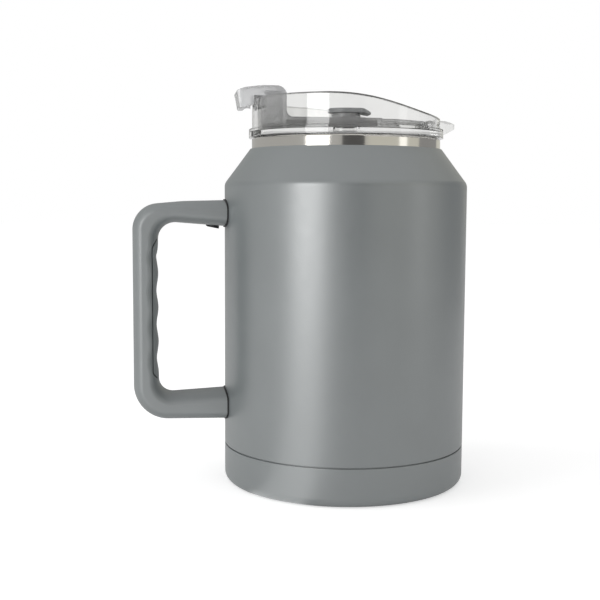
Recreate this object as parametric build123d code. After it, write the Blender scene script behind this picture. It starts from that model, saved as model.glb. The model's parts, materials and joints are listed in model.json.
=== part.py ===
from build123d import *
import math
import os

# Vacuum-insulated growler mug of 64 US fl oz with a bolted side handle and a press-in
# flip lid. Millimetres, +Z up. The origin is the centre of the base's resting face,
# the handle and the spout point along -X and the lid's hinge is at +X.

# ---- steel body ----
BODY_R = 65.0                # outside radius of the painted wall
SHELL_T = 0.8                # outer shell sheet
LINER_T = 0.6                # inner vessel sheet
VACUUM_GAP = 2.8             # evacuated space between shell and inner vessel
SHOULDER_Z = 160.2           # where the wall's line meets the shoulder cone's line
SHOULDER_ANGLE = 53.4        # cone's slope above the horizontal, degrees
SHOULDER_BEND_R = 5.0        # outside bend between wall and cone
NECK_R = 50.4                # outside radius of the bare steel neck
NECK_SHEET = 2.8             # neck's double wall, outer face to inner face
PAINT_LINE_Z = 178.6         # shell's upper edge, welded to the neck
RIM_TOP_Z = 184.1            # top of the rolled mouth
LINER_FLOOR_Z = 10.2         # drinking space's floor
LINER_FLOOR_R = 6.0          # inside bend round the floor

# ---- base ----
CAP_H = 20.0                 # height of the separate base cap's wall
CAP_T = 0.85                 # base cap sheet
CAP_CORNER_R = 4.5           # outside corner at the floor
CAP_RECESS = 1.5             # hollow under the middle of the cap
CAP_RECESS_R = 47.0          # radius of that hollow
SEAM_GAP = 0.6               # open groove between cap and shell
CAP_PLAY = 0.05              # shell's lower end inside the cap, per side
SHELL_FOOT_Z = 5.6           # shell's lower edge, inside the cap
BOTTOM_PLATE_Z = 7.6         # top of the plate that closes the vacuum
BOTTOM_PLATE_T = 0.8
PORT_R = 1.0                 # evacuation hole in that plate
PORT_SEAL_R = 3.2            # glass bead that closes the hole
GETTER_R = 4.5
GETTER_T = 1.1
GETTER_X = 22.0

# ---- handle ----
HANDLE_TOP_Z = 151.6         # upper arm's top at the shell
HANDLE_OUT_X = -113.8        # outermost face of the upright bar
HANDLE_BOTTOM_Z = 34.4       # lower arm's underside at the shell
HANDLE_HALF_W = 13.0         # half the handle's width
SECTION_STRETCH = 2.0        # width over height of the section's rounded corners
SECTION_R = 5.2              # rounding of the section, measured in the XZ plane
FOOT_HIDDEN_X = -58.0        # where the arms' centre lines are cut, inside the shell
GASKET_T = 0.8               # rubber between handle foot and shell
GASKET_PROUD = 0.3           # how far the gasket stands out round the foot
UPPER_ARM_Z = 144.5          # mid-height of each arm at the shell
LOWER_ARM_Z = 42.3
UPPER_FOOT_H = 14.2
LOWER_FOOT_H = 15.8
GRIP_PITCH = 18.2            # one finger
GRIP_MID_Z = 94.0            # middle crest between the four finger hollows
GRIP_WAVE = 0.5              # half the wave's depth
GRIP_FACE_X = -101.0         # mean plane of the wavy face
GRIP_SEAT_X = -103.2         # plane where grip and handle meet
GRIP_GROOVE = 0.45           # shadow groove round the grip
GRIP_CORE_HALF_W = 6.0       # grip and handle touch in the middle, behind the groove

# ---- handle fixings, the same at both feet ----
PAD_W = 15.0                 # weld pad on the shell
PAD_H = 8.4
PAD_T = 1.4
TONGUE_W = 11.0              # tongue that reaches into the arm
TONGUE_T = 3.0
TONGUE_TIP_X = -79.0
POCKET_PLAY = 0.25
SCREW_X = -71.5              # screws stand upright through the arms' undersides
SCREW_R = 2.0                # M4
SCREW_HOLE_R = 2.15
SCREW_HEAD_R = 3.4
SCREW_HEAD_H = 1.9
HEAD_BORE_R = 3.7
HEAD_SEAT = 1.6              # arm material between screw head and tongue
SCREW_TIP = 1.4              # thread beyond the tongue
PLUG_TILT = 11.0             # upper plug's pry lip hangs down, degrees

# ---- lid ----
FLANGE_R = 52.0              # flange that rests over the steel rim
LID_SEAT_Z = 184.4           # its underside, just over the rim
FLANGE_TOP_Z = 189.0
WALL_R = 50.3                # clear upstand
WALL_T = 2.4
RIM_Z = 204.8                # upstand's height on the spout side
RIM_HINGE_Z = 194.4          # and on the hinge side
FLOOR_TOP_Z = 187.4
FLOOR_T = 2.0
PLUG_RING_R = 46.6           # ring that goes down into the neck
PLUG_RING_T = 3.0
PLUG_RING_LOW_Z = 174.0
GASKET_GROOVE = (178.0, 183.0)
GASKET_GROOVE_R = 45.2
GASKET_R = 47.3              # lid gasket's lips, against a 47.6 neck
SIP_X = -41.0                # centre of the sip opening
SIP_L = 8.4
SIP_W = 16.0
STRAW_PORT_R = 6.0
HINGE_X = 44.0
HINGE_Z = 191.5
PIN_R = 1.25
PIN_PLAY = 0.06
KNUCKLE_R = 2.4
KNUCKLE_HALF_W = 6.0
LUG_GAP = 0.35
LUG_W = 3.0
PULL_TIP_X = 58.8            # tab for prising the lid out
PULL_HALF_W = 7.5

# ---- flip cap ----
PLATE_TOP_Z = 194.8
PLATE_T = 1.3
TAIL_FALL_X = 26.0           # from here the tail falls towards the hinge
TAIL_TOP_Z = 193.8           # tail, just before the knuckle
TRAY_X = (-40.0, 17.0)       # boxed part over both seals
TRAY_HALF_W = 13.5
TRAY_LOW_Z = 188.9
TRAY_SKIRT_Z = 187.8         # box is deeper beside the hood
TRAY_SKIRT_X = -20.6
TRAY_WALL = 1.6
TRAY_BAR_X = 18.0            # round bar along the end of the box
TRAY_BAR_Z = 190.5
TRAY_BAR_R = 2.6
TAIL_HALF_W = 8.0
TAIL_RIB_X = 29.7
HOOD_INNER_X = -33.0
HOOD_TOP_Z = 210.9
HOOD_HALF_W = 12.0
HOOD_WALL = 1.7
HOOD_LOW_Z = 188.9
HOOD_R = 47.3                # outer face, inside the upstand's 47.9
TAB_INNER_R = 51.8           # tab hangs outside the upstand's 50.3
TAB_LOW_Z = 199.5
BOSS_R = 7.8                 # collar round the straw hole
BOSS_TOP_Z = 197.8
STRAW_HOLE_R = 5.6
PLUG_SHANK_R = 5.3
PLUG_TOP_Z = 200.3
PLUG_CAP_T = 2.2
SEAL_LOW_Z = 187.7           # silicone faces, just over the lid's floor


def cone_z(radius, inset):
    """Height of the shoulder cone, set in by inset along its normal, at a radius."""
    slope = math.radians(SHOULDER_ANGLE)
    return SHOULDER_Z + (BODY_R - radius) * math.tan(slope) - inset / math.cos(slope)


def profile(*corners):
    """Face in the XZ plane from (x, z) or (x, z, corner radius) corners."""
    points = [(c[0], c[1]) for c in corners]
    radii = [c[2] if len(c) == 3 else 0 for c in corners]
    return make_face(Plane.XZ * FilletPolyline(*points, radius=radii, close=True))


def turned(*corners):
    """Solid of revolution about Z from (radius, z) corners."""
    return revolve(profile(*corners), Axis.Z)


def slab(half_width, *corners):
    """The XZ profile, made solid half_width to each side of the XZ plane."""
    return extrude(profile(*corners), amount=half_width, both=True)


def block(low, high):
    """Box between two corners."""
    size = [b - a for a, b in zip(low, high)]
    middle = [(a + b) / 2 for a, b in zip(low, high)]
    return Pos(*middle) * Box(*size)


def post(x, radius, low, high):
    """Upright cylinder on the XZ plane."""
    return Pos(x, 0, (low + high) / 2) * Cylinder(radius, high - low)


def crossbar(x, z, radius, half_width):
    """Cylinder along Y."""
    return Pos(x, 0, z) * Rot(X=90) * Cylinder(radius, 2 * half_width)


# ---------------------------------------------------------------- steel body

def outer_shell():
    inner = BODY_R - SHELL_T
    foot_outer = BODY_R - CAP_T - CAP_PLAY
    foot_inner = foot_outer - SHELL_T
    step = CAP_H + SEAM_GAP
    top_inner_r = NECK_R - 0.5
    top_outer_r = BODY_R - (PAINT_LINE_Z - SHOULDER_Z) / math.tan(math.radians(SHOULDER_ANGLE))
    return turned(
        (foot_inner, SHELL_FOOT_Z),
        (foot_outer, SHELL_FOOT_Z),
        (foot_outer, step),
        (BODY_R, step, 0.3),
        (BODY_R, SHOULDER_Z, SHOULDER_BEND_R),
        (top_outer_r, PAINT_LINE_Z),
        (top_inner_r, PAINT_LINE_Z),
        (top_inner_r, cone_z(top_inner_r, SHELL_T)),
        (inner, cone_z(inner, SHELL_T), SHOULDER_BEND_R - SHELL_T),
        (inner, step + SHELL_T),
        (foot_inner, step + SHELL_T),
    )


def inner_vessel():
    outer_set = SHELL_T + VACUUM_GAP
    inner_set = outer_set + LINER_T
    wall_outer = BODY_R - outer_set
    wall_inner = BODY_R - inner_set
    mouth_inner = NECK_R - NECK_SHEET
    mouth_outer = mouth_inner + LINER_T
    lap = NECK_R - LINER_T
    return turned(
        (0, LINER_FLOOR_Z),
        (wall_inner, LINER_FLOOR_Z, LINER_FLOOR_R),
        (wall_inner, cone_z(wall_inner, inner_set), 4.0),
        (mouth_inner, cone_z(mouth_inner, inner_set), 3.0),
        (mouth_inner, RIM_TOP_Z, 1.0),
        (NECK_R, RIM_TOP_Z, 1.0),
        (NECK_R, PAINT_LINE_Z),
        (lap, PAINT_LINE_Z),
        (lap, RIM_TOP_Z - LINER_T, 0.4),
        (mouth_outer, RIM_TOP_Z - LINER_T, 0.4),
        (mouth_outer, cone_z(mouth_outer, outer_set), 3.0),
        (wall_outer, cone_z(wall_outer, outer_set), 4.0),
        (wall_outer, LINER_FLOOR_Z - LINER_T, LINER_FLOOR_R + LINER_T),
        (0, LINER_FLOOR_Z - LINER_T),
    )


def base_cap():
    inner = BODY_R - CAP_T
    return turned(
        (0, CAP_RECESS),
        (CAP_RECESS_R - 2, CAP_RECESS, 1.0),
        (CAP_RECESS_R, 0, 1.0),
        (BODY_R, 0, CAP_CORNER_R),
        (BODY_R, CAP_H, 0.3),
        (inner, CAP_H),
        (inner, CAP_T, CAP_CORNER_R - CAP_T),
        (CAP_RECESS_R + 0.6, CAP_T, 1.0),
        (CAP_RECESS_R - 1.4, CAP_RECESS + CAP_T, 1.0),
        (0, CAP_RECESS + CAP_T),
    )


def outer_bottom():
    edge = BODY_R - CAP_T - CAP_PLAY - SHELL_T
    low = BOTTOM_PLATE_Z - BOTTOM_PLATE_T
    plate = turned(
        (PORT_R, low),
        (edge - BOTTOM_PLATE_T, low, 0.5),
        (edge - BOTTOM_PLATE_T, SHELL_FOOT_Z),
        (edge, SHELL_FOOT_Z),
        (edge, BOTTOM_PLATE_Z, 1.2),
        (PORT_R, BOTTOM_PLATE_Z),
    )
    return plate


def evacuation_seal():
    low = BOTTOM_PLATE_Z - BOTTOM_PLATE_T
    bead = turned((0, low - 1.3), (PORT_SEAL_R, low - 1.3, 0.9), (PORT_SEAL_R, low), (0, low))
    return bead + post(0, PORT_R, low, BOTTOM_PLATE_Z)


def getter():
    top = BOTTOM_PLATE_Z + GETTER_T
    return Pos(GETTER_X, 0, 0) * turned(
        (0, BOTTOM_PLATE_Z), (GETTER_R, BOTTOM_PLATE_Z), (GETTER_R, top, 0.4), (0, top)
    )


# ------------------------------------------------------------------- handle

def handle_outline():
    """Side outline of the whole handle, with four finger hollows on its inner face."""
    crest = GRIP_FACE_X + GRIP_WAVE
    low, top = GRIP_MID_Z - 2 * GRIP_PITCH, GRIP_MID_Z + 2 * GRIP_PITCH
    outer = FilletPolyline(
        (FOOT_HIDDEN_X, HANDLE_TOP_Z),
        (-87.4, HANDLE_TOP_Z - 0.8),
        (HANDLE_OUT_X, HANDLE_TOP_Z - 3.2),
        (HANDLE_OUT_X, HANDLE_BOTTOM_Z + 0.5),
        (FOOT_HIDDEN_X, HANDLE_BOTTOM_Z),
        radius=(60, 14.0, 18.5),
    )
    upper_inner = FilletPolyline(
        (crest, top),
        (crest, 140.3),
        (FOOT_HIDDEN_X, 137.1),
        radius=(9.0,),
    )
    lower_inner = FilletPolyline(
        (FOOT_HIDDEN_X, 50.5),
        (crest, 47.9),
        (crest, low),
        radius=(7.5,),
    )
    wave_turns = [
        (GRIP_FACE_X + GRIP_WAVE * (-1) ** n, GRIP_MID_Z + n * GRIP_PITCH / 2)
        for n in range(-4, 5)
    ]
    waves = Spline(*wave_turns, tangents=((0, 1), (0, 1)))
    ends = [
        Line((FOOT_HIDDEN_X, HANDLE_TOP_Z), (FOOT_HIDDEN_X, 137.1)),
        Line((FOOT_HIDDEN_X, 50.5), (FOOT_HIDDEN_X, HANDLE_BOTTOM_Z)),
    ]
    return make_face(Plane.XZ * (outer + upper_inner + lower_inner + waves + ends))


def handle_blank():
    """Handle and grip in one, with an oval section, before it is cut to fit."""
    half_w = HANDLE_HALF_W / SECTION_STRETCH
    narrow = extrude(handle_outline(), amount=half_w, both=True)
    sides = [f for f in narrow.faces() if abs(abs(f.center().Y) - half_w) < 0.001]
    rims = [e for f in sides for e in f.edges() if abs(e.center().X - FOOT_HIDDEN_X) > 0.1]
    return scale(fillet(rims, SECTION_R), by=(1, SECTION_STRETCH, 1))


def grip_zone(groove):
    """Space of the finger grip on the inner side of the bar, widened by groove."""
    seat = GRIP_SEAT_X - groove
    return slab(
        HANDLE_HALF_W + 5,
        (seat, 126.3 + groove, 4.0),
        (-99.0, 134.0 + groove),
        (-96.5, 134.0 + groove),
        (-96.5, 54.6 - groove),
        (-99.0, 54.6 - groove),
        (seat, 60.5 - groove, 4.0),
    )


def arm_cut(z):
    """Pocket for the bracket, screw hole and head bore in one arm's foot."""
    pad_x = -(BODY_R + PAD_T + POCKET_PLAY)
    pad = block(
        (pad_x, -PAD_W / 2 - POCKET_PLAY, z - PAD_H / 2 - POCKET_PLAY),
        (FOOT_HIDDEN_X, PAD_W / 2 + POCKET_PLAY, z + PAD_H / 2 + POCKET_PLAY),
    )
    slot = block(
        (TONGUE_TIP_X - POCKET_PLAY, -TONGUE_W / 2 - POCKET_PLAY, z - TONGUE_T / 2),
        (FOOT_HIDDEN_X, TONGUE_W / 2 + POCKET_PLAY, z + TONGUE_T / 2),
    )
    seat = z - TONGUE_T / 2 - HEAD_SEAT
    hole = post(SCREW_X, SCREW_HOLE_R, seat, z + TONGUE_T / 2 + SCREW_TIP + 0.4)
    return pad + slot + hole + post(SCREW_X, HEAD_BORE_R, seat - 12, seat)


def handle(blank):
    foot_cut = Pos(0, 0, 95) * Cylinder(BODY_R + GASKET_T, 150)
    core = block((-120, -GRIP_CORE_HALF_W, 40), (-90, GRIP_CORE_HALF_W, 150))
    grip_cut = grip_zone(0) + (grip_zone(GRIP_GROOVE) - core)
    return blank - foot_cut - grip_cut - arm_cut(UPPER_ARM_Z) - arm_cut(LOWER_ARM_Z)


def finger_grip(blank):
    return blank & grip_zone(0)


def foot_gasket(z, foot_height):
    """Rubber frame between a handle foot and the shell."""
    half_w = (HANDLE_HALF_W + GASKET_PROUD) / SECTION_STRETCH
    half_h = foot_height / 2 + GASKET_PROUD
    outline = Plane.YZ * RectangleRounded(2 * half_w, 2 * half_h, SECTION_R)
    bar = scale(extrude(outline, amount=20), by=(1, SECTION_STRETCH, 1))
    bar = Pos(-75, 0, z) * bar
    window = block(
        (-80, -PAD_W / 2 - POCKET_PLAY, z - PAD_H / 2 - POCKET_PLAY),
        (-50, PAD_W / 2 + POCKET_PLAY, z + PAD_H / 2 + POCKET_PLAY),
    )
    skin = Pos(0, 0, z) * (Cylinder(BODY_R + GASKET_T, 40) - Cylinder(BODY_R, 40))
    return (bar & skin) - window


def bracket(z):
    """Steel pad curved to the shell, with a tapped tongue."""
    pad = block((-72, -PAD_W / 2, z - PAD_H / 2), (-50, PAD_W / 2, z + PAD_H / 2))
    skin = Pos(0, 0, z) * (Cylinder(BODY_R + PAD_T, 30) - Cylinder(BODY_R, 30))
    tongue = block(
        (TONGUE_TIP_X, -TONGUE_W / 2, z - TONGUE_T / 2),
        (-BODY_R - 0.6, TONGUE_W / 2, z + TONGUE_T / 2),
    )
    tapped = post(SCREW_X, SCREW_R, z - TONGUE_T, z + TONGUE_T)
    return (pad & skin) + tongue - tapped


def handle_screw(z):
    """Pan-head screw from below, with a cross recess."""
    seat = z - TONGUE_T / 2 - HEAD_SEAT
    head = Pos(SCREW_X, 0, 0) * turned(
        (0, seat - SCREW_HEAD_H),
        (SCREW_HEAD_R, seat - SCREW_HEAD_H, 1.0),
        (SCREW_HEAD_R, seat),
        (0, seat),
    )
    shank = post(SCREW_X, SCREW_R, seat, z + TONGUE_T / 2 + SCREW_TIP)
    low = seat - SCREW_HEAD_H
    cross = block((SCREW_X - 1.7, -0.35, low), (SCREW_X + 1.7, 0.35, low + 1.1))
    cross += block((SCREW_X - 0.35, -1.7, low), (SCREW_X + 0.35, 1.7, low + 1.1))
    return head + shank - cross


def upper_screw_plug():
    """Rubber plug with a pry lip that stands out of the arm's underside."""
    roof = UPPER_ARM_Z - TONGUE_T / 2 - HEAD_SEAT - SCREW_HEAD_H - 0.1
    face = 137.7
    stem = post(SCREW_X, HEAD_BORE_R - 0.1, face, roof)
    lip = Pos(SCREW_X + 0.2, 0, face - 0.25) * Rot(Y=PLUG_TILT) * Cylinder(HEAD_BORE_R - 0.5, 1.3)
    return stem + lip


def lower_screw_plug():
    roof = LOWER_ARM_Z - TONGUE_T / 2 - HEAD_SEAT - SCREW_HEAD_H - 0.1
    low = HANDLE_BOTTOM_Z + 0.2
    return Pos(SCREW_X, 0, 0) * turned(
        (0, low), (HEAD_BORE_R - 0.1, low, 0.4), (HEAD_BORE_R - 0.1, roof), (0, roof)
    )


# ---------------------------------------------------------------------- lid

def above_rim():
    """Everything over the clear upstand: level at the spout, an S down to the hinge."""
    span = 70.0
    roof = 230.0
    fall = Bezier(
        (-20.0, RIM_Z),
        (12.0, RIM_Z + 0.2),
        (22.5, RIM_HINGE_Z + 1.4),
        (53.0, RIM_HINGE_Z),
    )
    rest = Polyline(
        (53.0, RIM_HINGE_Z),
        (span, RIM_HINGE_Z - 0.8),
        (span, roof),
        (-span, roof),
        (-span, RIM_Z),
        (-20.0, RIM_Z),
    )
    return extrude(make_face(Plane.XZ * (fall + rest)), amount=span, both=True)


def lid_shell():
    """Flange, upstand, floor and plug ring, turned in one piece."""
    wall_inner = WALL_R - WALL_T
    ring_inner = PLUG_RING_R - PLUG_RING_T
    groove_low, groove_top = GASKET_GROOVE
    return turned(
        (0, FLOOR_TOP_Z),
        (wall_inner, FLOOR_TOP_Z, 0.4),
        (wall_inner, RIM_Z + 1),
        (WALL_R, RIM_Z + 1),
        (WALL_R, FLANGE_TOP_Z),
        (FLANGE_R, FLANGE_TOP_Z, 0.25),
        (FLANGE_R, LID_SEAT_Z, 0.25),
        (PLUG_RING_R, LID_SEAT_Z),
        (PLUG_RING_R, groove_top),
        (GASKET_GROOVE_R, groove_top),
        (GASKET_GROOVE_R, groove_low),
        (PLUG_RING_R, groove_low),
        (PLUG_RING_R, PLUG_RING_LOW_Z, 0.6),
        (ring_inner, PLUG_RING_LOW_Z, 0.6),
        (ring_inner, FLOOR_TOP_Z - FLOOR_T, 1.0),
        (0, FLOOR_TOP_Z - FLOOR_T),
    )


def hinge_lugs():
    """Two ears on the lid's floor that hold the hinge pin."""
    inner = KNUCKLE_HALF_W + LUG_GAP
    foot = FLOOR_TOP_Z - 0.5
    ear = slab(
        inner + LUG_W,
        (HINGE_X - 3.6, foot),
        (HINGE_X + 2.6, foot),
        (HINGE_X + 2.6, HINGE_Z + 2.6, 2.5),
        (HINGE_X - 2.6, HINGE_Z + 2.6, 2.5),
    )
    middle = block((HINGE_X - 8, -inner, foot - 1), (HINGE_X + 8, inner, HINGE_Z + 8))
    return ear - middle


def pull_tab():
    """Wedge on the hinge side, to prise the lid out of the neck."""
    wedge = slab(
        PULL_HALF_W,
        (WALL_R - 1.2, 194.2),
        (52.4, 194.2, 0.8),
        (PULL_TIP_X, 192.5, 0.8),
        (PULL_TIP_X, 190.2, 0.8),
        (53.6, 187.4, 0.8),
        (51.2, 186.4),
        (WALL_R - 1.2, 187.6),
    )
    plan = Plane.XY * RectangleRounded(2 * 12.0, 2 * PULL_HALF_W, 4.5)
    rounded = Pos(PULL_TIP_X - 12.0, 0, 180) * extrude(plan, amount=20)
    return wedge & rounded


def lid_body():
    body = lid_shell() - above_rim()
    rim = body.edges().filter_by_position(Axis.Z, RIM_HINGE_Z - 1, RIM_Z + 0.5)
    rim = [e for e in rim if e.center().Z > RIM_HINGE_Z and e.geom_type != GeomType.LINE]
    body = fillet(rim, 0.9)
    body = body + hinge_lugs() + pull_tab()
    sip = Plane.XY * RectangleRounded(SIP_L, SIP_W, 3.0)
    floor_low = FLOOR_TOP_Z - FLOOR_T - 1
    body -= Pos(SIP_X, 0, floor_low) * extrude(sip, amount=FLOOR_T + 2)
    body -= post(0, STRAW_PORT_R, floor_low, FLOOR_TOP_Z + 1)
    return body - crossbar(HINGE_X, HINGE_Z, PIN_R, 12)


def lid_gasket():
    """Silicone ring with two lips, in the plug ring's groove."""
    low, top = GASKET_GROOVE
    root = GASKET_R - 0.7
    return turned(
        (GASKET_GROOVE_R, low + 0.1),
        (root, low + 0.1),
        (GASKET_R, low + 0.9, 0.3),
        (GASKET_R, low + 1.4, 0.3),
        (root, low + 2.1),
        (root, top - 2.1),
        (GASKET_R, top - 1.4, 0.3),
        (GASKET_R, top - 0.9, 0.3),
        (root, top - 0.1),
        (GASKET_GROOVE_R, top - 0.1),
    )


def hinge_pin():
    return crossbar(HINGE_X, HINGE_Z, PIN_R, KNUCKLE_HALF_W + LUG_GAP + LUG_W)


# ----------------------------------------------------------------- flip cap

def hood():
    """Tall cover over the sip opening, kept inside the lid's upstand."""
    shell = slab(
        HOOD_HALF_W,
        (-52.0, HOOD_LOW_Z),
        (HOOD_INNER_X, HOOD_LOW_Z),
        (HOOD_INNER_X, HOOD_TOP_Z, 5.5),
        (-52.0, HOOD_TOP_Z),
    )
    reach = post(0, HOOD_R, HOOD_LOW_Z, HOOD_TOP_Z)
    fillet_web = slab(
        HOOD_HALF_W,
        (HOOD_INNER_X - 1, PLATE_TOP_Z - 1),
        (HOOD_INNER_X + 5.2, PLATE_TOP_Z - 1),
        (HOOD_INNER_X + 5.2, PLATE_TOP_Z),
        (HOOD_INNER_X, PLATE_TOP_Z, 3.6),
        (HOOD_INNER_X, PLATE_TOP_Z + 5.2),
        (HOOD_INNER_X - 1, PLATE_TOP_Z + 5.2),
    )
    return (shell & reach) + fillet_web


def thumb_tab():
    """Bridge over the upstand's rim, with a lip that hangs outside it."""
    bridge_low = RIM_Z + 0.9
    solid = slab(
        HOOD_HALF_W,
        (-40.0, HOOD_TOP_Z),
        (-47.7, HOOD_TOP_Z - 0.2, 8.0),
        (-55.0, HOOD_TOP_Z - 1.1, 6.0),
        (-59.4, HOOD_TOP_Z - 2.6, 0.9),
        (-58.6, HOOD_TOP_Z - 5.8, 2.0),
        (-57.6, TAB_LOW_Z, 0.8),
        (-54.9, TAB_LOW_Z + 0.1, 0.6),
        (-53.2, TAB_LOW_Z + 1.3, 0.6),
        (-45.0, TAB_LOW_Z + 1.3),
        (-45.0, bridge_low),
        (-40.0, bridge_low),
    )
    wall_room = post(0, TAB_INNER_R, 190, bridge_low)
    plan = Plane.XY * RectangleRounded(2 * 14.0, 2 * HOOD_HALF_W, 4.0)
    rounded = Pos(-46.5, 0, 190) * extrude(plan, amount=30)
    return (solid & rounded) - wall_room


def cap_tray():
    """Boxed plate over the two seals, closed by a half-round bar."""
    low_x, high_x = TRAY_X
    outer = slab(
        TRAY_HALF_W,
        (low_x, PLATE_TOP_Z, 0.4),
        (high_x, PLATE_TOP_Z),
        (high_x, TRAY_LOW_Z),
        (TRAY_SKIRT_X, TRAY_LOW_Z),
        (TRAY_SKIRT_X, TRAY_SKIRT_Z, 0.6),
        (low_x + 3.0, TRAY_SKIRT_Z, 0.8),
        (low_x, TRAY_SKIRT_Z + 2.4, 0.8),
    )
    return outer + crossbar(TRAY_BAR_X, TRAY_BAR_Z, TRAY_BAR_R, TRAY_HALF_W)


def cap_tail():
    """Narrow plate from the box to the hinge knuckle."""
    plate_low = PLATE_TOP_Z - PLATE_T
    plate = slab(
        TAIL_HALF_W,
        (TRAY_X[1] - 1, PLATE_TOP_Z),
        (TAIL_FALL_X, PLATE_TOP_Z),
        (HINGE_X - 3.2, TAIL_TOP_Z),
        (HINGE_X - 3.2, TAIL_TOP_Z - PLATE_T),
        (TAIL_FALL_X, plate_low),
        (TRAY_X[1] - 1, plate_low),
    )
    rib = slab(
        TAIL_HALF_W - 2.5,
        (TRAY_X[1], plate_low + 0.4),
        (TAIL_RIB_X - 4, plate_low + 0.4),
        (TAIL_RIB_X, 189.9, 0.6),
        (TRAY_X[1], 189.5),
    )
    neck = slab(
        KNUCKLE_HALF_W,
        (HINGE_X - 5.0, TAIL_TOP_Z),
        (HINGE_X, HINGE_Z + KNUCKLE_R),
        (HINGE_X, HINGE_Z),
        (HINGE_X - 5.0, TAIL_TOP_Z - PLATE_T),
    )
    return plate + rib + neck + crossbar(HINGE_X, HINGE_Z, KNUCKLE_R, KNUCKLE_HALF_W)


def flip_cap():
    cap = hood() + thumb_tab() + cap_tray() + cap_tail()
    cap += post(0, BOSS_R, PLATE_TOP_Z - 0.5, BOSS_TOP_Z)
    hood_room = slab(
        HOOD_HALF_W - HOOD_WALL,
        (-52.0, HOOD_LOW_Z - 2),
        (HOOD_INNER_X - HOOD_WALL, HOOD_LOW_Z - 2),
        (HOOD_INNER_X - HOOD_WALL, HOOD_TOP_Z - 2.4, 3.5),
        (-52.0, HOOD_TOP_Z - 2.4),
    )
    cap -= hood_room & post(0, HOOD_R - HOOD_WALL, 180, HOOD_TOP_Z)
    tray_room = block(
        (HOOD_INNER_X, TRAY_WALL - TRAY_HALF_W, TRAY_LOW_Z - 2),
        (TRAY_X[1] - 2.4, TRAY_HALF_W - TRAY_WALL, PLATE_TOP_Z - PLATE_T),
    )
    cap -= tray_room
    cap -= post(0, STRAW_HOLE_R, PLATE_TOP_Z - 3, BOSS_TOP_Z + 1)
    return cap - crossbar(HINGE_X, HINGE_Z, PIN_R + PIN_PLAY, 12)


def spout_seal():
    """Silicone pad inside the hood, with a plug for the sip opening."""
    inner_x = HOOD_INNER_X - HOOD_WALL
    half_w = HOOD_HALF_W - HOOD_WALL
    pad = block((-52.0, -half_w, SEAL_LOW_Z), (inner_x, half_w, 191.6))
    pad = pad & post(0, HOOD_R - HOOD_WALL, SEAL_LOW_Z, 191.6)
    plan = Plane.XY * RectangleRounded(SIP_L - 0.9, SIP_W - 0.9, 2.6)
    plug = Pos(SIP_X, 0, SEAL_LOW_Z - 1.6) * extrude(plan, amount=2.0)
    return pad + plug


def cap_seal():
    """Silicone insert in the box, with a collar for the straw."""
    pad = block(
        (HOOD_INNER_X, TRAY_WALL - TRAY_HALF_W, SEAL_LOW_Z + 0.9),
        (TRAY_X[1] - 2.4, TRAY_HALF_W - TRAY_WALL, PLATE_TOP_Z - PLATE_T),
    )
    pad += post(0, STRAW_PORT_R + 2.6, SEAL_LOW_Z, SEAL_LOW_Z + 1.5)
    return pad - post(0, STRAW_HOLE_R, SEAL_LOW_Z - 1, PLATE_TOP_Z)


def straw_plug():
    """Stopper for the straw hole, with a finger lip on the hinge side."""
    low = PLUG_TOP_Z - PLUG_CAP_T
    cap = slab(
        8.6,
        (-9.6, PLUG_TOP_Z, 0.6),
        (8.0, PLUG_TOP_Z, 6.0),
        (13.4, PLUG_TOP_Z - 2.2, 0.6),
        (12.6, PLUG_TOP_Z - 3.3, 0.3),
        (8.6, low),
        (-9.6, low, 0.4),
    )
    plan = Plane.XY * RectangleRounded(23.2, 17.0, 8.0)
    rounded = Pos(1.9, 0, 190) * extrude(plan, amount=20)
    return (cap & rounded) + post(0, PLUG_SHANK_R, SEAL_LOW_Z + 0.3, low + 0.5)


# -------------------------------------------------------------------- write

def build():
    """Every node by name; a list is a group of separate solids."""
    blank = handle_blank()
    return {
        "outer_shell": outer_shell(),
        "inner_vessel": inner_vessel(),
        "outer_bottom": outer_bottom(),
        "getter": getter(),
        "evacuation_seal": evacuation_seal(),
        "base_cap": base_cap(),
        "handle": handle(blank),
        "finger_grip": finger_grip(blank),
        "upper_gasket": foot_gasket(UPPER_ARM_Z, UPPER_FOOT_H),
        "lower_gasket": foot_gasket(LOWER_ARM_Z, LOWER_FOOT_H),
        "upper_bracket": bracket(UPPER_ARM_Z),
        "lower_bracket": bracket(LOWER_ARM_Z),
        "handle_screws": [handle_screw(UPPER_ARM_Z), handle_screw(LOWER_ARM_Z)],
        "upper_screw_plug": upper_screw_plug(),
        "lower_screw_plug": lower_screw_plug(),
        "lid_body": lid_body(),
        "lid_gasket": lid_gasket(),
        "hinge_pin": hinge_pin(),
        "flip_cap": flip_cap(),
        "spout_seal": spout_seal(),
        "cap_seal": cap_seal(),
        "straw_plug": straw_plug(),
    }


os.makedirs("parts", exist_ok=True)
for name, shape in build().items():
    solids = [s for item in (shape if isinstance(shape, list) else [shape]) for s in item.solids()]
    export_step(Compound(children=solids) if len(solids) > 1 else solids[0], f"parts/{name}.step")
    print(name, len(solids), round(sum(s.volume for s in solids)))
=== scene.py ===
import json
import math

import bpy
from mathutils import Matrix, Vector

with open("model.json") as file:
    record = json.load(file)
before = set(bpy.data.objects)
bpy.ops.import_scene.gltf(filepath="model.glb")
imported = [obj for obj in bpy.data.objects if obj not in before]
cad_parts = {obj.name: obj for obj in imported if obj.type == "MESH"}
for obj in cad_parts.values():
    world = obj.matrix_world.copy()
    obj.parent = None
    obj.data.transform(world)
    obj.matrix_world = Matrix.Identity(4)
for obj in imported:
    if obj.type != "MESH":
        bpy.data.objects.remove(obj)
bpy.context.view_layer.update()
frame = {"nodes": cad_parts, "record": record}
nodes = frame["nodes"]

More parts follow.
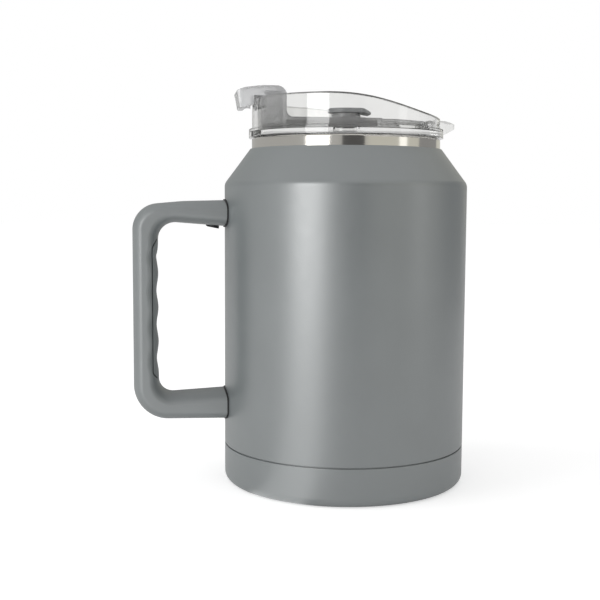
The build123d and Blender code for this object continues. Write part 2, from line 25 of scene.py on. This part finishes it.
# ---- driving values, metres and degrees ----
CAMERA_AT = Vector((-0.0934, -0.5578, 0.1513))
CAMERA_HEADING = 7.06        # clockwise from +Y, seen from above
CAMERA_PITCH = 5.46          # downwards
CAMERA_ROLL = 0.30           # the picture's right side hangs lower
LENS_MM = 62.38
SENSOR_MM = 36.0

FLOOR_HALF = 6.0
AIM_Z = 0.14                 # height that the lights face
STUDIO_SOFT = 0.64           # studio as dull surfaces see it
STUDIO_LEFT = (0.47, 0.47, 0.46)     # and as glossy surfaces see it
STUDIO_RIGHT = (0.64, 0.63, 0.57)
STUDIO_TOP = 0.85
BACKDROP = 1.0               # what the camera sees of it, and what shows through the lid
FLOOR_GLOW = (0.50, 0.17)    # as the camera sees it, and as the object does
FLOOR_SHADE = 0.8
PAINTED_KEY_PATCH_GLOW = 0.8             # painted pool of key light on the floor: extra emission that only reflections see
PAINTED_KEY_PATCH_EDGE = (20.0, 11.0)    # half-angle of that painted pool of light, where it starts and where it is full
KEY_AZIMUTH = -33.0          # degrees from the camera's side of the object
CAMERA_SIDE = math.atan2(CAMERA_AT.x, -CAMERA_AT.y)

GREY = (0.151, 0.168, 0.171)     # the paint
STEEL = (0.74, 0.72, 0.68)
COAT_MOTTLE = 0.035          # how much lighter or darker the paint's clouds are


# ------------------------------------------------------------------ node helpers

# colour sockets of Blender's Mix node
MIX_FACTOR = 0
MIX_A = 6
MIX_B = 7
MIX_RESULT = 2


class Nodes:
    """A material's or world's node tree, with short ways to add and link nodes."""

    def __init__(self, owner):
        owner.use_nodes = True
        self.tree = owner.node_tree
        self.tree.nodes.clear()

    def add(self, kind, **settings):
        node = self.tree.nodes.new(kind)
        for name, value in settings.items():
            setattr(node, name, value)
        return node

    def link(self, out, into):
        self.tree.links.new(out, into)

    def place(self):
        """Position in the part's own frame: the CAD and its pieces share it."""
        return self.add("ShaderNodeTexCoord").outputs["Object"]

    def stretched(self, vector, scale):
        mapping = self.add("ShaderNodeMapping")
        mapping.inputs["Scale"].default_value = scale
        self.link(vector, mapping.inputs["Vector"])
        return mapping.outputs["Vector"]

    def noise(self, vector, scale, detail=2.0, roughness=0.5):
        node = self.add("ShaderNodeTexNoise")
        node.inputs["Scale"].default_value = scale
        node.inputs["Detail"].default_value = detail
        node.inputs["Roughness"].default_value = roughness
        self.link(vector, node.inputs["Vector"])
        return node.outputs["Fac"]

    def cells(self, vector, scale):
        node = self.add("ShaderNodeTexVoronoi", feature="SMOOTH_F1")
        node.inputs["Scale"].default_value = scale
        self.link(vector, node.inputs["Vector"])
        return node.outputs["Distance"]

    def ramp(self, fac, stops):
        """Colour or grey ramp from (position, value) stops."""
        node = self.add("ShaderNodeValToRGB")
        ramp = node.color_ramp
        while len(ramp.elements) < len(stops):
            ramp.elements.new(0.5)
        for element, (position, value) in zip(ramp.elements, stops):
            element.position = position
            element.color = grey(value) if isinstance(value, (int, float)) else rgba(value)
        self.link(fac, node.inputs["Fac"])
        return node.outputs["Color"]

    def between(self, fac, low, high):
        """A number that runs from low to high as fac runs from 0 to 1."""
        node = self.add("ShaderNodeMapRange")
        node.inputs["To Min"].default_value = low
        node.inputs["To Max"].default_value = high
        self.link(fac, node.inputs["Value"])
        return node.outputs["Result"]

    def math(self, operation, a, b=None):
        node = self.add("ShaderNodeMath", operation=operation)
        for socket, value in zip(node.inputs, (a, b)):
            if value is None:
                continue
            if isinstance(value, (int, float)):
                socket.default_value = value
            else:
                self.link(value, socket)
        return node.outputs["Value"]

    def bump(self, height, strength, distance, normal=None):
        node = self.add("ShaderNodeBump")
        node.inputs["Strength"].default_value = strength
        node.inputs["Distance"].default_value = distance
        self.link(height, node.inputs["Height"])
        if normal is not None:
            self.link(normal, node.inputs["Normal"])
        return node.outputs["Normal"]

    def split(self, vector):
        node = self.add("ShaderNodeSeparateXYZ")
        self.link(vector, node.inputs["Vector"])
        return node.outputs

    def mixed(self, fac, first, second):
        """Colour mix; second is what shows where fac is 1."""
        node = self.add("ShaderNodeMix", data_type="RGBA")
        self.link(fac, node.inputs[MIX_FACTOR])
        for socket, value in ((node.inputs[MIX_A], first), (node.inputs[MIX_B], second)):
            if isinstance(value, float):
                socket.default_value = grey(value)
            else:
                self.link(value, socket)
        return node.outputs[MIX_RESULT]

    def surface(self, shader, kind="ShaderNodeOutputMaterial"):
        self.link(shader, self.add(kind).inputs["Surface"])

    def principled(self, **constants):
        shader = self.add("ShaderNodeBsdfPrincipled")
        for name, value in constants.items():
            socket = shader.inputs[name.replace("_", " ")]
            socket.default_value = rgba(value) if isinstance(value, tuple) else value
        self.surface(shader.outputs["BSDF"])
        return shader


def grey(value):
    return (value, value, value, 1.0)


def rgba(colour):
    return (*colour, 1.0)


def tinted(colour, factor):
    return tuple(channel * factor for channel in colour)


def material(name):
    made = bpy.data.materials.new(name)
    return made, Nodes(made)


# -------------------------------------------------------------------- materials

def powder_coat(name, colour, roughness, grain=900.0, depth=0.00006):
    """Satin powder coat: fine orange peel, faint mottling and uneven sheen."""
    made, n = material(name)
    place = n.place()
    mottle = n.noise(place, 38.0, 3.0)
    peel = n.noise(place, grain, 2.0, 0.55)
    swell = n.noise(place, grain * 0.22, 1.0)
    shader = n.principled(IOR=1.8, Specular_IOR_Level=0.9)
    darker = tinted(colour, 1 - COAT_MOTTLE)
    lighter = tinted(colour, 1 + COAT_MOTTLE)
    n.link(n.ramp(mottle, [(0.3, darker), (0.7, lighter)]), shader.inputs["Base Color"])
    n.link(n.between(swell, roughness - 0.03, roughness + 0.04), shader.inputs["Roughness"])
    coarse = n.bump(swell, 0.25, depth)
    n.link(n.bump(peel, 0.5, depth, coarse), shader.inputs["Normal"])
    return made


def turned_steel(name, colour, roughness, line=5200.0, contrast=0.06):
    """Stainless steel turned on a lathe: fine lines round the axis."""
    made, n = material(name)
    place = n.place()
    at = n.split(place)
    xx = n.math("MULTIPLY", at["X"], at["X"])
    yy = n.math("MULTIPLY", at["Y"], at["Y"])
    radius = n.math("SQRT", n.math("ADD", xx, yy))
    ring = n.add("ShaderNodeCombineXYZ")
    n.link(radius, ring.inputs["X"])
    n.link(at["Z"], ring.inputs["Z"])
    lines = n.noise(ring.outputs["Vector"], line, 2.0, 0.6)
    smear = n.noise(place, 60.0, 3.0)
    shader = n.principled(Metallic=1.0)
    darker = tinted(colour, 1 - contrast)
    n.link(n.ramp(lines, [(0.25, darker), (0.75, colour)]), shader.inputs["Base Color"])
    uneven = n.between(smear, roughness, roughness + 0.05)
    rough = n.math("ADD", n.between(lines, 0.0, 0.05), uneven)
    n.link(rough, shader.inputs["Roughness"])
    n.link(n.bump(lines, 0.12, 0.00001), shader.inputs["Normal"])
    return made


def clear_plastic(name):
    """Clear copolyester: polished, with the faint flow swell of a moulding."""
    made, n = material(name)
    place = n.place()
    flow = n.noise(n.stretched(place, (1.0, 1.0, 0.35)), 70.0, 2.0)
    haze = n.noise(place, 140.0, 2.0)
    shader = n.principled(IOR=1.52, Transmission_Weight=1.0)
    n.link(n.ramp(haze, [(0.3, (0.79, 0.79, 0.78)), (0.7, (0.82, 0.82, 0.81))]),
           shader.inputs["Base Color"])
    n.link(n.between(haze, 0.015, 0.04), shader.inputs["Roughness"])
    n.link(n.bump(flow, 0.12, 0.0001), shader.inputs["Normal"])
    return made


def smoke_plastic(name):
    """Translucent smoke-grey moulding with a satin skin."""
    made, n = material(name)
    place = n.place()
    cloud = n.noise(place, 90.0, 3.0)
    grain = n.noise(place, 2600.0, 2.0)
    shader = n.principled(IOR=1.5, Transmission_Weight=0.68)
    n.link(n.ramp(cloud, [(0.3, (0.75, 0.755, 0.76)), (0.7, (0.80, 0.805, 0.81))]),
           shader.inputs["Base Color"])
    n.link(n.between(cloud, 0.22, 0.3), shader.inputs["Roughness"])
    n.link(n.bump(grain, 0.15, 0.00002), shader.inputs["Normal"])
    return made


def silicone(name, colour, transmission, roughness=0.42):
    """Moulded silicone: soft haze, dusty satin face."""
    made, n = material(name)
    place = n.place()
    haze = n.noise(place, 160.0, 3.0)
    dust = n.noise(place, 3200.0, 2.0)
    shader = n.principled(IOR=1.41, Transmission_Weight=transmission)
    darker = tinted(colour, 0.95)
    n.link(n.ramp(haze, [(0.3, darker), (0.7, colour)]), shader.inputs["Base Color"])
    n.link(n.between(haze, roughness - 0.04, roughness + 0.06), shader.inputs["Roughness"])
    n.link(n.bump(dust, 0.25, 0.00003), shader.inputs["Normal"])
    return made


def rubber(name, colour, roughness=0.62, pebble=1500.0, depth=0.00008):
    """Matte rubber with a fine pebbled skin."""
    made, n = material(name)
    place = n.place()
    cells = n.cells(place, pebble)
    wear = n.noise(place, 55.0, 3.0)
    shader = n.principled(IOR=1.5, Specular_IOR_Level=0.35)
    lighter = tinted(colour, 1.18)
    n.link(n.ramp(wear, [(0.35, colour), (0.75, lighter)]), shader.inputs["Base Color"])
    n.link(n.between(wear, roughness - 0.05, roughness + 0.06), shader.inputs["Roughness"])
    n.link(n.bump(cells, 0.4, depth), shader.inputs["Normal"])
    return made


def solder_glass(name):
    made, n = material(name)
    place = n.place()
    swirl = n.noise(place, 700.0, 4.0)
    shader = n.principled(IOR=1.6)
    n.link(n.ramp(swirl, [(0.3, (0.05, 0.07, 0.05)), (0.7, (0.11, 0.14, 0.10))]),
           shader.inputs["Base Color"])
    n.link(n.between(swirl, 0.12, 0.3), shader.inputs["Roughness"])
    return made


finishes = {
    "powder_paint": powder_coat("powder_coat", GREY, 0.35),
    "handle_paint": powder_coat("handle_coat", GREY, 0.52, 1100.0, 0.00004),
    "soft_grip": rubber("soft_touch_grip", (0.22, 0.238, 0.241), 0.55, 1900.0),
    "bare_steel": turned_steel("turned_stainless", STEEL, 0.06),
    "getter_alloy": rubber("getter_sinter", (0.16, 0.155, 0.15), 0.6, 4000.0),
    "sealing_glass": solder_glass("solder_glass"),
    "black_rubber": rubber("black_rubber", (0.012, 0.012, 0.013), 0.5),
    "zinc_steel": turned_steel("bright_stainless", (0.66, 0.66, 0.67), 0.2),
    "clear_plastic": clear_plastic("clear_copolyester"),
    "smoke_plastic": smoke_plastic("smoke_moulding"),
    "clear_silicone": silicone("clear_silicone", (0.72, 0.73, 0.73), 0.5),
    "grey_silicone": silicone("grey_silicone", (0.36, 0.37, 0.38), 0.1),
}


def dress(node_name, finish):
    """Gives a CAD node its finish in every material slot."""
    slots = nodes[node_name].data.materials
    if not slots:
        slots.append(finish)
    for index in range(len(slots)):
        slots[index] = finish


for entry in frame["record"]["subparts"]:
    dress(entry["node"], finishes[entry["material_slot"]])


# ----------------------------------------------------------------- stage and light

def floor():
    """Plain pale floor; glossy surfaces also see a painted pool of key light on it, an emitting
    patch on the key light's side.
    """
    bpy.ops.mesh.primitive_plane_add(size=2 * FLOOR_HALF)
    plane = bpy.context.object
    plane.name = "stage_floor"
    made, n = material("stage_white")
    diffuse = n.add("ShaderNodeBsdfDiffuse")
    diffuse.inputs["Color"].default_value = grey(FLOOR_SHADE)
    at = n.split(n.place())
    bearing = n.math("ARCTAN2", at["X"], n.math("MULTIPLY", at["Y"], -1.0))
    key_bearing = math.radians(KEY_AZIMUTH) + CAMERA_SIDE
    off = n.math("ABSOLUTE", n.math("SUBTRACT", bearing, key_bearing))
    # painted pool of light: extra emission on the key light's side of the floor, seen only by
    # glossy rays
    painted_patch = n.add("ShaderNodeMapRange", interpolation_type="SMOOTHSTEP")
    painted_patch.inputs["From Min"].default_value = math.radians(PAINTED_KEY_PATCH_EDGE[0])
    painted_patch.inputs["From Max"].default_value = math.radians(PAINTED_KEY_PATCH_EDGE[1])
    n.link(off, painted_patch.inputs["Value"])
    path = n.add("ShaderNodeLightPath")
    glossy = n.math("MULTIPLY", painted_patch.outputs["Result"], path.outputs["Is Glossy Ray"])
    own = n.between(path.outputs["Is Camera Ray"], FLOOR_GLOW[1], FLOOR_GLOW[0])
    glow = n.add("ShaderNodeEmission")
    strength = n.math("ADD", own, n.math("MULTIPLY", glossy, PAINTED_KEY_PATCH_GLOW))
    n.link(strength, glow.inputs["Strength"])
    both = n.add("ShaderNodeAddShader")
    n.link(diffuse.outputs["BSDF"], both.inputs[0])
    n.link(glow.outputs["Emission"], both.inputs[1])
    n.surface(both.outputs["Shader"])
    plane.data.materials.append(made)


def studio_world():
    """Soft studio for the surfaces, brighter overhead and warmer on the right; white
    where it is seen directly or through the lid."""
    world = bpy.data.worlds.new("studio")
    bpy.context.scene.world = world
    n = Nodes(world)
    path = n.add("ShaderNodeLightPath")
    towards = n.split(n.add("ShaderNodeTexCoord").outputs["Generated"])
    side = n.ramp(towards["X"], [(0.15, STUDIO_LEFT), (0.35, STUDIO_RIGHT)])
    above = n.ramp(towards["Z"], [(0.45, 0.0), (0.85, 1.0)])
    glossy_look = n.mixed(above, side, STUDIO_TOP)
    look = n.mixed(path.outputs["Is Glossy Ray"], STUDIO_SOFT, glossy_look)
    seen = n.math("MAXIMUM", path.outputs["Is Camera Ray"], path.outputs["Is Transmission Ray"])
    background = n.add("ShaderNodeBackground")
    n.link(n.mixed(seen, look, BACKDROP), background.inputs["Color"])
    n.surface(background.outputs["Background"], "ShaderNodeOutputWorld")


def around(azimuth, distance, height):
    """A point round the object: azimuth 0 is the camera's side, positive its right."""
    side = math.radians(azimuth)
    out = Vector((CAMERA_AT.x, CAMERA_AT.y, 0)).normalized()
    right = Vector((-out.y, out.x, 0))
    return distance * (out * math.cos(side) + right * math.sin(side)) + Vector((0, 0, height))


def softbox(name, azimuth, distance, height, size, watts, glare=True):
    """Area light (width, height) that faces the object: all glare, or all soft light."""
    light = bpy.data.lights.new(name, "AREA")
    light.shape = "RECTANGLE"
    light.size, light.size_y = size
    light.energy = watts
    lamp = bpy.data.objects.new(name, light)
    bpy.context.scene.collection.objects.link(lamp)
    lamp.location = around(azimuth, distance, height)
    to_object = Vector((0, 0, AIM_Z)) - lamp.location
    lamp.rotation_euler = to_object.to_track_quat("-Z", "Y").to_euler()
    lamp.visible_glossy = glare
    lamp.visible_diffuse = not glare
    lamp.visible_transmission = glare


def card(name, azimuth, distance, size, height, shade):
    """Dull card that only the reflections show."""
    bpy.ops.mesh.primitive_plane_add(size=1.0)
    sheet = bpy.context.object
    sheet.name = name
    sheet.scale = (*size, 1.0)
    sheet.location = around(azimuth, distance, height)
    to_object = Vector((0, 0, height)) - sheet.location
    sheet.rotation_euler = to_object.to_track_quat("-Z", "Y").to_euler()
    made, n = material(name)
    glow = n.add("ShaderNodeEmission")
    glow.inputs["Strength"].default_value = shade
    n.surface(glow.outputs["Emission"])
    sheet.data.materials.append(made)
    sheet.visible_camera = False
    sheet.visible_diffuse = False
    sheet.visible_transmission = False
    sheet.visible_shadow = False


def camera():
    """The photograph's viewpoint."""
    heading = math.radians(CAMERA_HEADING)
    pitch = math.radians(CAMERA_PITCH)
    roll = math.radians(CAMERA_ROLL)
    flat = Vector((math.sin(heading), math.cos(heading), 0))
    forward = flat * math.cos(pitch) - Vector((0, 0, math.sin(pitch)))
    right = Vector((flat.y, -flat.x, 0))
    up = right.cross(forward)
    tilted_right = right * math.cos(roll) + up * math.sin(roll)
    tilted_up = up * math.cos(roll) - right * math.sin(roll)
    turn = Matrix((tilted_right, tilted_up, -forward)).transposed()
    data = bpy.data.cameras.new("camera")
    data.sensor_width = SENSOR_MM
    data.lens = LENS_MM
    data.clip_start = 0.01
    seer = bpy.data.objects.new("camera", data)
    seer.matrix_world = Matrix.Translation(CAMERA_AT) @ turn.to_4x4()
    bpy.context.scene.collection.objects.link(seer)
    bpy.context.scene.camera = seer


floor()
studio_world()
softbox("key_box", KEY_AZIMUTH, 1.25, 0.34, (0.60, 0.80), 6.6)
softbox("right_strip", 71, 1.1, 0.35, (0.22, 0.8), 0.42)
softbox("left_fill", -70, 1.6, 0.9, (1.4, 1.4), 11.0, False)
softbox("front_fill", -12, 1.7, 0.5, (1.2, 1.2), 3.0, False)
card("camera_side_card", 9, 1.0, (0.46, 0.9), 0.25, 0.10)
card("right_card", 118, 1.0, (0.80, 0.9), 0.25, 0.30)
camera()
bpy.context.scene.view_settings.view_transform = "Standard"
